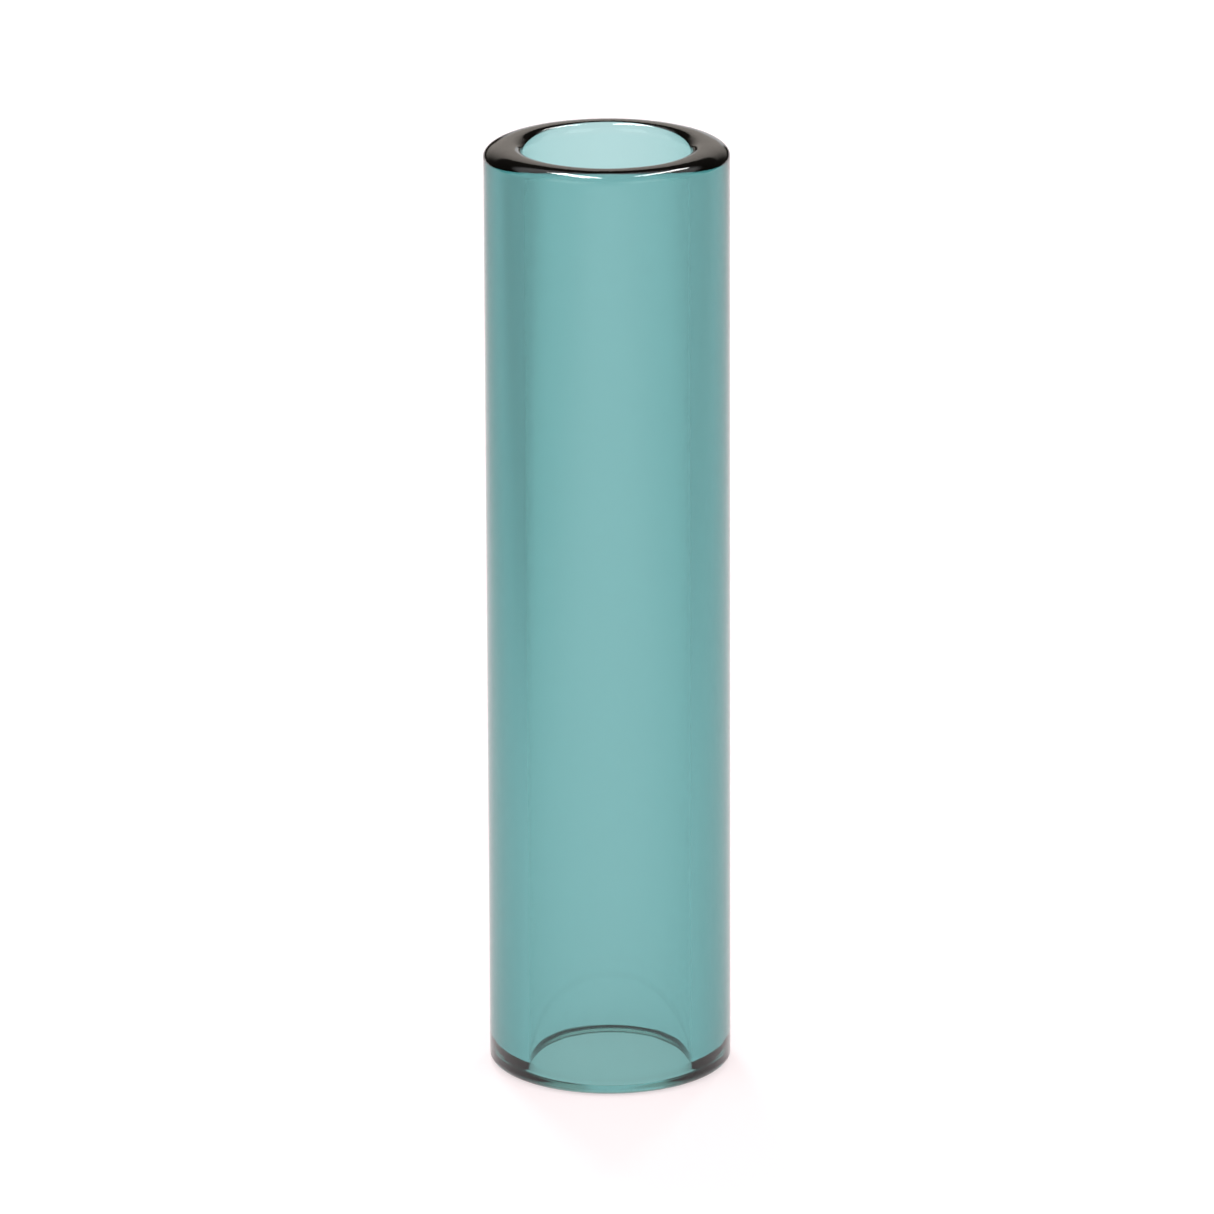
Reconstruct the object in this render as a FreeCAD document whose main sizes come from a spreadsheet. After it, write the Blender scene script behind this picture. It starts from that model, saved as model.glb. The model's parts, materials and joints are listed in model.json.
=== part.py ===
"""Glass guitar slide: one straight glass tube, open at both ends, with fire-polished lips.

Millimetres, +Z up along the tube's axis, origin at the centre of the lower end, where it stands.
A player's finger goes into the bore, and the outer wall slides along the strings.
"""

import FreeCAD, Part
import os
import Sketcher

PARTS_FOLDER = "parts"
NODE = "glass_tube"
SHEET = "sizes"

# The driving dimensions in millimetres: alias, value, and what it measures.
DRIVING_DIMENSIONS = [
    ("outer_diameter", 23.0, "outer wall, which rides on the strings"),
    ("bore_diameter", 15.4, "straight bore, which takes the finger"),
    ("tube_length", 90.0, "from end to end, over the lips"),
    ("upper_lip_radius", 1.1, "full round of the two edges at the upper end"),
    ("lower_lip_radius", 0.6, "slight round of the two edges at the lower end"),
]


def make_sheet(document):
    """The spreadsheet that holds the driving dimensions, one to a row."""
    sheet = document.addObject("Spreadsheet::Sheet", SHEET)
    for row, (alias, value, meaning) in enumerate(DRIVING_DIMENSIONS, start=1):
        sheet.set(f"A{row}", meaning)
        sheet.set(f"B{row}", str(value))
        sheet.setAlias(f"B{row}", alias)
    document.recompute()
    return sheet


def origin_feature(body, role):
    """One of the body's own origin planes or axes, such as XZ_Plane."""
    return next(feature for feature in body.Origin.OriginFeatures if feature.Role == role)


def draw_wall_section(body, sheet):
    """The tube wall's section: a rectangle from the bore out to the outer wall."""
    sketch = body.newObject("Sketcher::SketchObject", "wall_section")
    sketch.AttachmentSupport = [(origin_feature(body, "XZ_Plane"), "")]
    sketch.MapMode = "FlatFace"

    bore_x = sheet.bore_diameter / 2
    wall_x = sheet.outer_diameter / 2
    top_y = sheet.tube_length
    corners = [(bore_x, 0), (wall_x, 0), (wall_x, top_y), (bore_x, top_y)]
    lower_end, outer_wall, upper_end, bore_wall = (
        sketch.addGeometry(Part.LineSegment(FreeCAD.Vector(*start), FreeCAD.Vector(*end)), False)
        for start, end in zip(corners, corners[1:] + corners[:1])
    )
    sides = [lower_end, outer_wall, upper_end, bore_wall]

    origin, start_point, end_point = -1, 1, 2
    for side, next_side in zip(sides, sides[1:] + sides[:1]):
        sketch.addConstraint(
            Sketcher.Constraint("Coincident", side, end_point, next_side, start_point))
    for side in (lower_end, upper_end):
        sketch.addConstraint(Sketcher.Constraint("Horizontal", side))
    for side in (outer_wall, bore_wall):
        sketch.addConstraint(Sketcher.Constraint("Vertical", side))

    # Each distance is bound to the sheet: kind, side, its point, starting value, and formula.
    distances = [
        ("DistanceX", lower_end, start_point, bore_x, f"{SHEET}.bore_diameter / 2"),
        ("DistanceX", lower_end, end_point, wall_x, f"{SHEET}.outer_diameter / 2"),
        ("DistanceY", upper_end, start_point, top_y, f"{SHEET}.tube_length"),
    ]
    for kind, side, point, value, formula in distances:
        index = sketch.addConstraint(
            Sketcher.Constraint(kind, origin, start_point, side, point, value))
        sketch.setExpression(f"Constraints[{index}]", formula)
    sketch.addConstraint(
        Sketcher.Constraint("PointOnObject", lower_end, start_point, origin))
    return sketch


def revolve_wall(body, section):
    """The plain tube: the wall's section turned all the way round the Z axis."""
    tube = body.newObject("PartDesign::Revolution", "plain_tube")
    tube.Profile = section
    tube.ReferenceAxis = (origin_feature(body, "Z_Axis"), [""])
    tube.Angle = 360
    body.Document.recompute()
    return tube


def circles_at_height(shape, height):
    """The names of the shape's circular edges that lie at one height."""
    tolerance = 1e-6
    return [
        f"Edge{number}"
        for number, edge in enumerate(shape.Edges, start=1)
        if isinstance(edge.Curve, Part.Circle) and abs(edge.Curve.Center.z - height) < tolerance
    ]


def round_lips(body, base, name, end_height, formula):
    """Rounds one end's outer and bore edges, which the fire polish has melted."""
    lips = body.newObject("PartDesign::Fillet", name)
    lips.Base = (base, circles_at_height(base.Shape, end_height))
    lips.setExpression("Radius", formula)
    body.Document.recompute()
    return lips


def make_glass_tube(document, sheet):
    """The whole slide: the only piece there is."""
    body = document.addObject("PartDesign::Body", NODE)
    body.Label = NODE
    section = draw_wall_section(body, sheet)
    tube = revolve_wall(body, section)
    upper_lips = round_lips(
        body, tube, "upper_lips", sheet.tube_length, f"{SHEET}.upper_lip_radius")
    round_lips(body, upper_lips, "lower_lips", 0, f"{SHEET}.lower_lip_radius")
    return body


def check_document(document, bodies):
    """Stops before anything is written if a feature failed or a body is not one good solid."""
    for feature in document.Objects:
        if "Invalid" in feature.State or "Error" in feature.State:
            raise RuntimeError(f"{feature.Label} did not compute")
    for body in bodies:
        if body.Shape.isNull() or not body.Shape.isValid() or len(body.Shape.Solids) != 1:
            raise RuntimeError(f"{body.Label} is not one valid solid")


def main():
    document = FreeCAD.newDocument("guitar_slide")
    sheet = make_sheet(document)
    bodies = [make_glass_tube(document, sheet)]
    document.recompute()
    check_document(document, bodies)

    os.makedirs(PARTS_FOLDER, exist_ok=True)
    for body in bodies:
        body.Shape.exportStep(f"{PARTS_FOLDER}/{body.Label}.step")
        print(body.Label, "volume mm3", round(body.Shape.Volume, 2), body.Shape.BoundBox)


main()
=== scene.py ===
"""Looks of the glass guitar slide: a tinted, fire-polished glass tube standing on a pale studio floor."""

import json
import math

import bpy
from mathutils import Matrix, Vector


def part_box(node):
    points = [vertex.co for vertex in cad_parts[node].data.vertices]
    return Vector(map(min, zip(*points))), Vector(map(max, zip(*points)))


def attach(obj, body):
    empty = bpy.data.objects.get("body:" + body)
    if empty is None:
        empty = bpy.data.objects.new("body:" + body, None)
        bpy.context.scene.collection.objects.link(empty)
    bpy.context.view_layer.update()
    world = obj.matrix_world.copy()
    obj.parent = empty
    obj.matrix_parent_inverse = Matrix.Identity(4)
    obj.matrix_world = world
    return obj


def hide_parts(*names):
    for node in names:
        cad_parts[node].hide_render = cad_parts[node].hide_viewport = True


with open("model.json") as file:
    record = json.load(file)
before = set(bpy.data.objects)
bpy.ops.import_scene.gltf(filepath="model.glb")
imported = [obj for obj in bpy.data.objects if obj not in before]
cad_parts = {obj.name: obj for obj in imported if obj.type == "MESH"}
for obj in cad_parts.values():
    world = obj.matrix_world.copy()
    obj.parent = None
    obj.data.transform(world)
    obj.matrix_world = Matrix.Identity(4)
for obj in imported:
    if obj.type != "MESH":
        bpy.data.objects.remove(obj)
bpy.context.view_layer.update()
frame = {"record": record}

MM = 0.001

# ---- sizes: the wall and the length come from the frame, and the lips are set here ----
NODE = "glass_tube"
lowest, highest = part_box(NODE)
mounts = {mount["name"]: mount for mount in frame["record"]["mounts"]}
OUTER_RADIUS = (highest[0] - lowest[0]) / 2
BORE_RADIUS = mounts["finger_bore"]["dims"]["r_mm"] * MM
LENGTH = highest[2] - lowest[2]

# An end's two rounds are quarters of ellipses, each (across the wall, along the tube).
# The upper end is a dome that the fire polish left. The lower one is flatter, and the flame has
# rounded its front more than its back.
TOP_OUTER_LIP = (2.2 * MM, 1.1 * MM)
TOP_BORE_LIP = (1.35 * MM, 1.1 * MM)
BACK_OUTER_LIP = (0.35 * MM, 0.35 * MM)
BACK_BORE_LIP = (0.35 * MM, 0.35 * MM)
FRONT_OUTER_LIP = (1.2 * MM, 1.1 * MM)
FRONT_BORE_LIP = (0.8 * MM, 0.75 * MM)

# Drawn and flame-worked glass is never quite even. A wave is (how many go round, size, phase).
LIP_SAG = 0.05 * MM
SAG_WAVES = [(2, 1.0, 0.6), (3, 0.7, 2.1), (7, 0.4, 4.0)]
WALL_WAVE = 0.004 * MM
WALL_WAVES = [(5, 1.0, 1.0), (11, 0.6, 0.3), (23, 0.4, 0.0)]

# Steps round the tube, along each lip and up each wall.
AROUND = 360
LIP_STEPS = 24
WALL_STEPS = 60


# ---- the glass ----
def waviness(turn, waves):
    """The waves added up at one place round the tube."""
    return sum(size * math.sin(count * turn + phase) for count, size, phase in waves)


def lip_sag(turn):
    """How far the melted lip has sagged below its highest point, at one place round the tube."""
    highest_sum = sum(size for count, size, phase in SAG_WAVES)
    return LIP_SAG * (1 - waviness(turn, SAG_WAVES) / highest_sum) / 2


def wall_wave(turn):
    """How far the draw lines, long shallow ribs, move the bore's wall at one place round the tube."""
    return WALL_WAVE * waviness(turn, WALL_WAVES)


def lip_arc(centre_radius, lip, start):
    """A quarter of an ellipse about the inner end of a lip, as (radius, depth below the end face)."""
    across, along = lip
    for step in range(LIP_STEPS + 1):
        angle = start + math.pi / 2 * step / LIP_STEPS
        yield centre_radius + across * math.cos(angle), along * (1 - math.sin(angle))


def end_outline(outer_lip, bore_lip, rib):
    """An end from the outer wall over the lips to the bore, as (radius, depth) points."""
    outer = lip_arc(OUTER_RADIUS - outer_lip[0], outer_lip, 0)
    inner = lip_arc(BORE_RADIUS + rib + bore_lip[0], bore_lip, math.pi / 2)
    return [*outer, *inner]


def bottom_lip(back, front, turn):
    """The lower end's lip at one place round the tube, between its shapes at the back and the front."""
    toward_front = (1 - math.sin(turn)) / 2
    share = toward_front * toward_front * (3 - 2 * toward_front)
    return tuple((1 - share) * b + share * f for b, f in zip(back, front))


def wall_section(turn):
    """The wall's section at one place round the tube: up the outside, over the top and down the bore."""
    rib = wall_wave(turn)
    sag = lip_sag(turn)
    top = end_outline(TOP_OUTER_LIP, TOP_BORE_LIP, rib)
    outer_lip = bottom_lip(BACK_OUTER_LIP, FRONT_OUTER_LIP, turn)
    bore_lip = bottom_lip(BACK_BORE_LIP, FRONT_BORE_LIP, turn)
    bottom = end_outline(outer_lip, bore_lip, rib)
    deepest = max(depth for radius, depth in top)
    steps = [step / WALL_STEPS for step in range(1, WALL_STEPS)]
    heights = [(1 - s) * bottom[0][1] + s * (LENGTH - deepest) for s in steps]
    # The sag is full at the crest of the lips, and nothing where they meet the straight wall.
    return [
        *((OUTER_RADIUS, height) for height in heights),
        *((radius, LENGTH - depth - sag * (1 - depth / deepest)) for radius, depth in top),
        *((BORE_RADIUS + rib, height) for height in reversed(heights)),
        *reversed(bottom),
    ]


def mesh_object(name, vertices, faces):
    """A mesh as an object of the scene."""
    mesh = bpy.data.meshes.new(name)
    mesh.from_pydata(vertices, [], faces)
    piece = bpy.data.objects.new(name, mesh)
    bpy.context.scene.collection.objects.link(piece)
    return piece


def lathe(name, section):
    """A closed ring-shaped mesh from a section that may change as it goes round."""
    vertices = []
    for column in range(AROUND):
        turn = 2 * math.pi * column / AROUND
        points = section(turn)
        vertices.extend((r * math.cos(turn), r * math.sin(turn), z) for r, z in points)
    count = len(points)
    faces = []
    for column in range(AROUND):
        here, there = column * count, (column + 1) % AROUND * count
        for low_row in range(count):
            high_row = (low_row + 1) % count
            faces.append((here + low_row, there + low_row, there + high_row, here + high_row))
    piece = mesh_object(name, vertices, faces)
    piece.data.shade_smooth()
    return piece


# ---- materials ----
def new_tree(owner):
    """An empty node tree of a material or a world."""
    owner.use_nodes = True
    owner.node_tree.nodes.clear()
    return owner.node_tree


def add_node(tree, kind, inputs=None, **settings):
    """One node, with its settings and its inputs: an input is a value or another node's socket."""
    node = tree.nodes.new(kind)
    for name, value in settings.items():
        setattr(node, name, value)
    for key, value in (inputs or {}).items():
        if isinstance(value, bpy.types.NodeSocket):
            tree.links.new(value, node.inputs[key])
        else:
            node.inputs[key].default_value = value
    return node


def maths(tree, operation, *values):
    """The output of one Math node."""
    return add_node(tree, "ShaderNodeMath", dict(enumerate(values)), operation=operation).outputs[0]


def spread(tree, value, low, high, to_low=0.0, to_high=1.0):
    """A value mapped smoothly from one range to another, and held at its ends."""
    inputs = {"Value": value, "From Min": low, "From Max": high, "To Min": to_low, "To Max": to_high}
    return add_node(tree, "ShaderNodeMapRange", inputs, interpolation_type="SMOOTHSTEP").outputs[0]


def blend_colours(tree, share, first, second):
    """A colour between two others, each of them three numbers or another node's socket."""
    node = add_node(tree, "ShaderNodeMix", {0: share}, data_type="RGBA")
    for socket, colour in ((node.inputs[6], first), (node.inputs[7], second)):
        if isinstance(colour, bpy.types.NodeSocket):
            tree.links.new(colour, socket)
        else:
            socket.default_value = (*colour, 1)
    return node.outputs[2]


def noise(tree, vector, scale, detail):
    """Soft procedural noise from 0 to 1."""
    inputs = {"Vector": vector, "Scale": scale, "Detail": detail}
    return add_node(tree, "ShaderNodeTexNoise", inputs).outputs["Fac"]


GLASS_IOR = 1.52

# What a metre of the glass absorbs of red, green and blue. The shader takes it as what is kept of
# each colour, and a density.
GLASS_ABSORBED_PER_METRE = (241.0, 113.0, 113.0)
ABSORPTION_DENSITY = 260.0

# Noise scales are in repeats per metre. Draw lines run along the tube, and ripples are near its ends.
DRAW_LINES_SCALE = 260
DRAW_LINES_STRETCH = 0.04
DRAW_LINES_SHARE = 0.1
RIPPLES_SCALE = 330
RIPPLES_ON_WALL = 0.15
MELTED_ZONE = 4 * MM
FULLY_MELTED_ZONE = 1 * MM
RELIEF = 0.02 * MM

# Finger marks show where their noise is in this range, and dull the glass by this much at most.
MARKS_SCALE = 60
MARKS_RANGE = (0.5, 0.8)
MARKS_ROUGHNESS = 0.012


def tinted_glass():
    """Blue-green glass, tinted through its thickness, with draw lines, ripples and finger marks."""
    material = bpy.data.materials.new("slide_glass")
    tree = new_tree(material)
    place = add_node(tree, "ShaderNodeTexCoord").outputs["Object"]
    stretch = {"Vector": place, "Scale": (1, 1, DRAW_LINES_STRETCH)}
    along_draw = add_node(tree, "ShaderNodeMapping", stretch).outputs["Vector"]

    draw_lines = noise(tree, along_draw, DRAW_LINES_SCALE, 2)
    height = add_node(tree, "ShaderNodeSeparateXYZ", {0: place}).outputs["Z"]
    from_middle = maths(tree, "ABSOLUTE", maths(tree, "SUBTRACT", height, LENGTH / 2))
    melting_starts = LENGTH / 2 - MELTED_ZONE
    melting_ends = LENGTH / 2 - FULLY_MELTED_ZONE
    melted = spread(tree, from_middle, melting_starts, melting_ends, RIPPLES_ON_WALL, 1)
    ripples = maths(tree, "MULTIPLY", noise(tree, place, RIPPLES_SCALE, 1), melted)
    relief = maths(tree, "ADD", maths(tree, "MULTIPLY", draw_lines, DRAW_LINES_SHARE), ripples)
    bump = add_node(
        tree, "ShaderNodeBump", {"Strength": 1.0, "Distance": RELIEF, "Height": relief})

    marks = noise(tree, place, MARKS_SCALE, 3)
    roughness = spread(tree, marks, *MARKS_RANGE, 0.0, MARKS_ROUGHNESS)

    surface = add_node(tree, "ShaderNodeBsdfPrincipled", {
        "Base Color": (1, 1, 1, 1),
        "Transmission Weight": 1.0,
        "IOR": GLASS_IOR,
        "Roughness": roughness,
        "Normal": bump.outputs["Normal"],
    })
    kept = [1 - absorbed / ABSORPTION_DENSITY for absorbed in GLASS_ABSORBED_PER_METRE]
    volume = add_node(
        tree, "ShaderNodeVolumeAbsorption", {"Color": (*kept, 1), "Density": ABSORPTION_DENSITY})
    add_node(tree, "ShaderNodeOutputMaterial", {
        "Surface": surface.outputs["BSDF"], "Volume": volume.outputs["Volume"]})
    return material


# The paper's grain and faint clouds: noise scales in repeats per metre, and how much each lightens it.
FLOOR_ALBEDO = 0.38
FLOOR_ROUGHNESS = (0.75, 0.95)
GRAIN_SCALE = 900
GRAIN_TONE = 0.01
GRAIN_STRENGTH = 0.05
GRAIN_RELIEF = 0.05 * MM
CLOUDS_SCALE = 3
CLOUDS_TONE = 0.02

# Painted light: the floor glows in this colour, standing in for the light on it, though it is no lamp.
PAINTED_FLOOR_LIGHT = (0.71, 0.615, 0.625)
# Painted shadow: a darker blue-green glow inside the tube stands in for the tinted shade the glass casts.
PAINTED_TUBE_SHADOW = (0.40, 0.50, 0.49)

# Painted light: the floor's glow is full up to one distance left and right of the middle, and by a second
# distance it has faded to a share of itself, which differs between the two sides. The fade is a painted
# falloff of light.
GLOW_FULL = 62 * MM
GLOW_LOW = 200 * MM
LEFT_GLOW_SHARE = 0.5
RIGHT_GLOW_SHARE = 0.75


def pale_floor():
    """Pale matt paper with painted light: its glow stands in for light, fades to either side and turns to
    painted blue-green shade in the tube.
    """
    material = bpy.data.materials.new("studio_paper")
    tree = new_tree(material)
    place = add_node(tree, "ShaderNodeTexCoord").outputs["Object"]
    grain = noise(tree, place, GRAIN_SCALE, 3)
    clouds = noise(tree, place, CLOUDS_SCALE, 2)
    grain_tone = maths(tree, "MULTIPLY", grain, GRAIN_TONE)
    clouds_tone = maths(tree, "MULTIPLY", clouds, CLOUDS_TONE)
    tone = maths(tree, "ADD", grain_tone, clouds_tone)
    albedo = maths(tree, "ADD", tone, FLOOR_ALBEDO)
    shade = add_node(tree, "ShaderNodeCombineColor", {0: albedo, 1: albedo, 2: albedo})
    relief = {"Strength": GRAIN_STRENGTH, "Distance": GRAIN_RELIEF, "Height": grain}
    bump = add_node(tree, "ShaderNodeBump", relief)

    # Painted light: the glow is dimmed to the left and right, a painted falloff of the studio light.
    across = add_node(tree, "ShaderNodeSeparateXYZ", {0: place}).outputs["X"]
    left = spread(tree, across, -GLOW_LOW, -GLOW_FULL, LEFT_GLOW_SHARE, 1)
    right = spread(tree, across, GLOW_FULL, GLOW_LOW, 1, RIGHT_GLOW_SHARE)
    painted_light_falloff = maths(tree, "MULTIPLY", left, right)
    from_axis = add_node(tree, "ShaderNodeVectorMath", {0: place}, operation="LENGTH").outputs["Value"]
    # Painted shadow: this mask turns the glow into the darker blue-green shade inside the tube's
    # footprint.
    tube_shadow_mask = spread(tree, from_axis, BORE_RADIUS, OUTER_RADIUS, 1, 0)
    surface = add_node(tree, "ShaderNodeBsdfPrincipled", {
        "Base Color": shade.outputs[0],
        "Roughness": spread(tree, grain, 0, 1, *FLOOR_ROUGHNESS),
        "Specular IOR Level": 0.2,
        "Emission Color": blend_colours(tree, tube_shadow_mask, PAINTED_FLOOR_LIGHT, PAINTED_TUBE_SHADOW),
        "Emission Strength": painted_light_falloff,
        "Normal": bump.outputs["Normal"],
    })
    add_node(tree, "ShaderNodeOutputMaterial", {"Surface": surface.outputs["BSDF"]})
    return material


# ---- the slide, with its material ----
slide = lathe("glass_slide", wall_section)
slide.data.materials.append(tinted_glass())
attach(slide, "root")
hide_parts(NODE)

# ---- floor ----
# It lies a hair below the slide, so that the two surfaces don't meet.
FLOOR_RADIUS = 3.0
FLOOR_GAP = 0.03 * MM


def disc(name, radius, rings=12, sides=96):
    """A flat round floor of rings cut into equal sides."""
    vertices = [(0, 0, 0)]
    for ring in range(1, rings + 1):
        for side in range(sides):
            turn = 2 * math.pi * side / sides
            r = radius * ring / rings
            vertices.append((r * math.cos(turn), r * math.sin(turn), 0))
    faces = []
    for side in range(sides):
        after = (side + 1) % sides
        faces.append((0, 1 + side, 1 + after))
        for ring in range(rings - 1):
            inner, outer = 1 + ring * sides, 1 + (ring + 1) * sides
            faces.append((inner + side, outer + side, outer + after, inner + after))
    return mesh_object(name, vertices, faces)


floor = disc("studio_floor", FLOOR_RADIUS)
floor.location.z = -FLOOR_GAP
floor.data.materials.append(pale_floor())

# ---- light ----
# The colours of the room overhead, its sides, the backdrop and the flags.
SKY = (0.80, 0.80, 0.80)
PALE = (0.95, 0.95, 0.95)
WARM = (0.72, 0.66, 0.60)
DARK = (0.045, 0.04, 0.034)

# Where things stand round the slide, in degrees. Azimuth 0 is straight behind it and 90 to its right.
# A range is (from, to, half the width of its soft edge), and a fade is (starts, ends) going up.
SKY_FADE = (30, 60)
FLAGS_AZIMUTH = (-78, 78, 4)
FLAGS_FADE = (38, 46)
BACKDROP_AZIMUTH = (-20, 20, 16)
BACKDROP_ELEVATION = (7, 26, 2)
GAP_AZIMUTH = (-4, 11, 2)
GAP_FADE = (7, 9)


def studio_world():
    """A pale room with black flags round the back, a warm backdrop in them and a low gap below it.

    The flags make the rims of the glass dark, and the backdrop and the gap lighten parts of them.
    """
    world = bpy.data.worlds.new("studio")
    tree = new_tree(world)
    direction = add_node(tree, "ShaderNodeTexCoord").outputs["Generated"]
    parts = add_node(tree, "ShaderNodeSeparateXYZ", {0: direction}).outputs
    degrees = 180 / math.pi
    elevation = maths(tree, "MULTIPLY", maths(tree, "ARCSINE", parts["Z"]), degrees)
    azimuth = maths(tree, "MULTIPLY", maths(tree, "ARCTAN2", parts["X"], parts["Y"]), degrees)

    def inside(value, low, high, edge):
        """1 inside a range of angles and 0 outside, with soft edges."""
        rise = spread(tree, value, low - edge, low + edge)
        fall = spread(tree, value, high - edge, high + edge, 1, 0)
        return maths(tree, "MULTIPLY", rise, fall)

    flags = maths(
        tree, "MULTIPLY", inside(azimuth, *FLAGS_AZIMUTH), spread(tree, elevation, *FLAGS_FADE, 1, 0))
    gap = maths(
        tree, "MULTIPLY", inside(azimuth, *GAP_AZIMUTH), spread(tree, elevation, *GAP_FADE, 1, 0))
    backdrop = maths(
        tree, "MULTIPLY", inside(azimuth, *BACKDROP_AZIMUTH), inside(elevation, *BACKDROP_ELEVATION))

    colour = blend_colours(tree, spread(tree, elevation, *SKY_FADE), PALE, SKY)
    colour = blend_colours(tree, flags, colour, DARK)
    colour = blend_colours(tree, backdrop, colour, WARM)
    colour = blend_colours(tree, gap, colour, PALE)
    background = add_node(tree, "ShaderNodeBackground", {"Color": colour, "Strength": 1.0})
    add_node(tree, "ShaderNodeOutputWorld", {"Surface": background.outputs[0]})
    bpy.context.scene.world = world


def softbox(name, width, depth, azimuth, elevation, distance, watts):
    """A rectangular lamp turned towards the object: azimuth 0 is behind it and 90 is to its right."""
    turn, rise = math.radians(azimuth), math.radians(elevation)
    level = distance * math.cos(rise)
    place = (level * math.sin(turn), level * math.cos(turn), distance * math.sin(rise))
    lamp = bpy.data.lights.new(name, "AREA")
    lamp.shape = "RECTANGLE"
    lamp.size = width
    lamp.size_y = depth
    lamp.energy = watts
    holder = bpy.data.objects.new(name, lamp)
    holder.location = place
    holder.rotation_euler = Vector(place).to_track_quat("Z", "Y").to_euler()
    bpy.context.scene.collection.objects.link(holder)


# Name, width, depth, azimuth, elevation, distance and watts. The strips draw the streaks on the lips.
SOFTBOXES = [
    ("key_left", 1.6, 1.6, 180 + 45, 48, 2.7, 10),
    ("key_right", 1.6, 1.6, 180 - 45, 48, 2.7, 10),
    ("strip_left", 0.22, 0.66, -17, 64, 1.75, 9),
    ("strip_right", 0.14, 0.6, 20, 54, 1.75, 3.4),
]

studio_world()
for settings in SOFTBOXES:
    softbox(*settings)

# ---- camera ----
ELEVATION = math.radians(17.2)
DISTANCE = 40 * 2 * OUTER_RADIUS
SENSOR = 36

# Shares of the picture's width: the slide's diameter, which sets the lens, and the framing's shifts.
WIDTH_SHARE = 0.2009
SHIFT_X = -0.0012
SHIFT_Y = -0.0003
ROLL = math.radians(-0.238)


def place_camera():
    """The camera stands back on -Y and looks a little down at the middle of the slide."""
    data = bpy.data.cameras.new("camera")
    data.sensor_width = SENSOR
    data.lens = SENSOR * WIDTH_SHARE * DISTANCE / (2 * OUTER_RADIUS)
    data.shift_x = SHIFT_X
    data.shift_y = SHIFT_Y
    data.clip_start = 0.01
    data.clip_end = 50
    camera = bpy.data.objects.new("camera", data)
    bpy.context.scene.collection.objects.link(camera)
    toward = Vector((0, -math.cos(ELEVATION), math.sin(ELEVATION)))
    camera.location = Vector((0, 0, LENGTH / 2)) + toward * DISTANCE
    turn = toward.to_track_quat("Z", "Y").to_matrix() @ Matrix.Rotation(ROLL, 3, "Z")
    camera.rotation_euler = turn.to_euler()
    bpy.context.scene.camera = camera


place_camera()

# Thick glass needs long light paths, because light crosses the wall many times before it leaves.
scene = bpy.context.scene
scene.view_settings.view_transform = "Standard"
scene.cycles.max_bounces = 24
scene.cycles.transmission_bounces = 24
scene.cycles.glossy_bounces = 12
scene.cycles.diffuse_bounces = 4
scene.cycles.sample_clamp_indirect = 10
